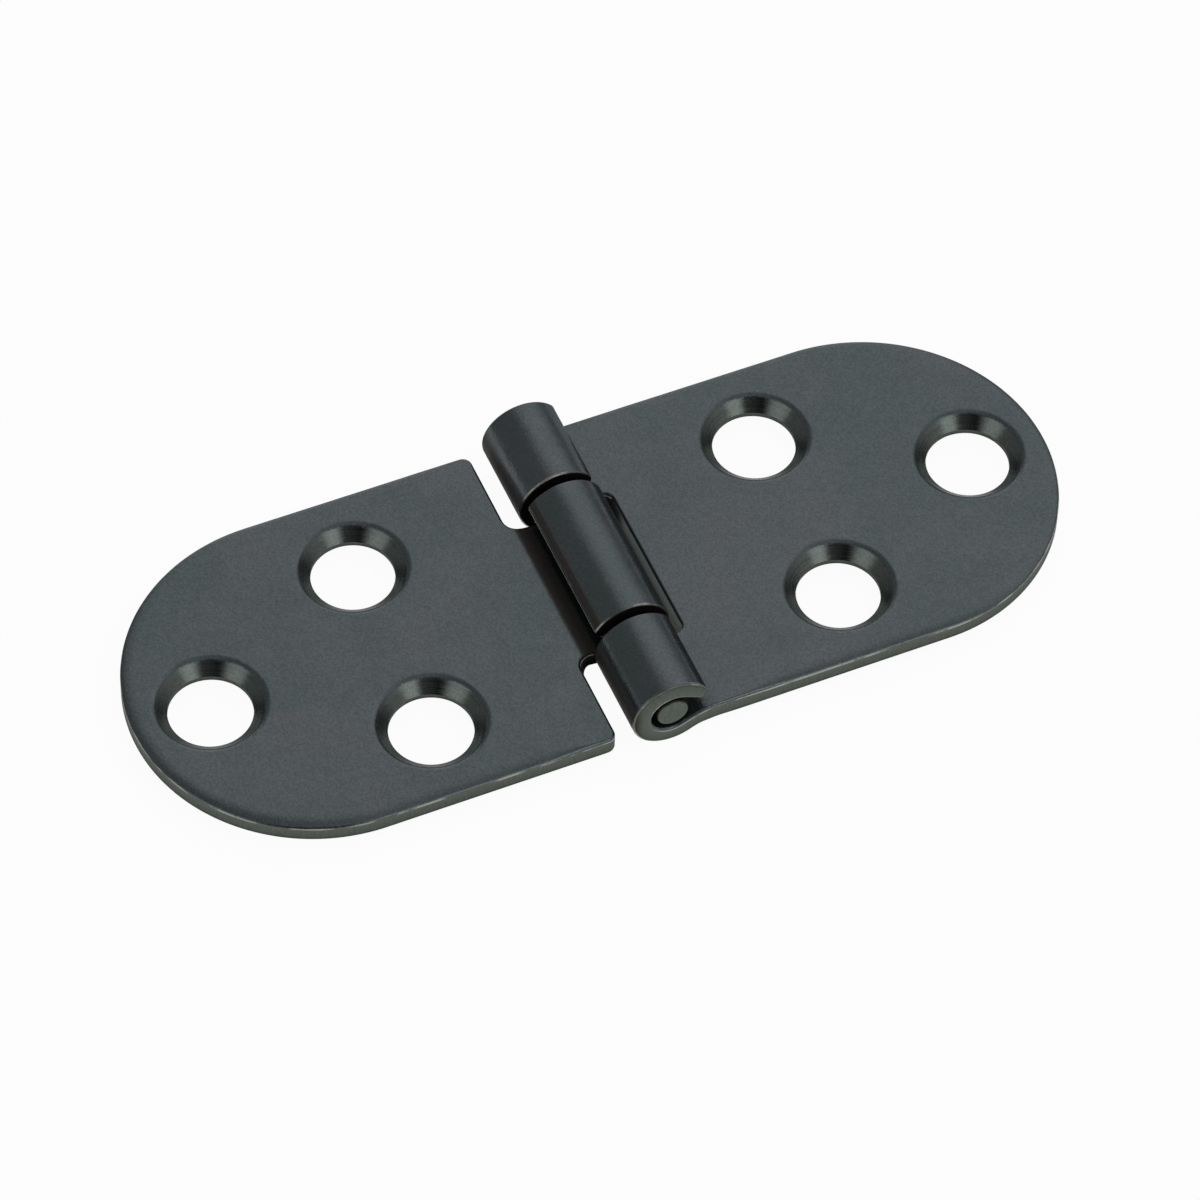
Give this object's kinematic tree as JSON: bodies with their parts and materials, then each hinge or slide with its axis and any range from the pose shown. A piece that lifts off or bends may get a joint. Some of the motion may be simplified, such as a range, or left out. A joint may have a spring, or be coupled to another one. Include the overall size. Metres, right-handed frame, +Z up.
{
  "type": "sewing machine hinge",
  "caption": "Flat hinge with two round-ended steel leaves, rolled knuckles on one pin and countersunk screw holes, for a fold-over table flap.",
  "frame": {"origin": "under the middle of the barrel, at the height of its lowest line, with both leaves opened out flat", "axes": "+X along the leaves towards the leaf with the two outer knuckles, +Y along the pin, +Z up out of the countersunk face"},
  "size_m": [0.0776, 0.03, 0.0068],
  "materials": {
    "leaf_steel": "blackened rolled sheet, satin",
    "pin_steel": "blackened wire, satin"
  },
  "bodies": {
    "outer_leaf": {"outer_leaf": "leaf_steel", "hinge_pin": "pin_steel"},
    "inner_leaf": {"inner_leaf": "leaf_steel"}
  },
  "joints": [
    {"name": "leaf_fold", "type": "hinge", "parent": "outer_leaf", "child": "inner_leaf", "pos_m": [0, 0, 0.00339], "axis": [0, 1, 0], "range_deg": [-120, 180]}
  ]
}
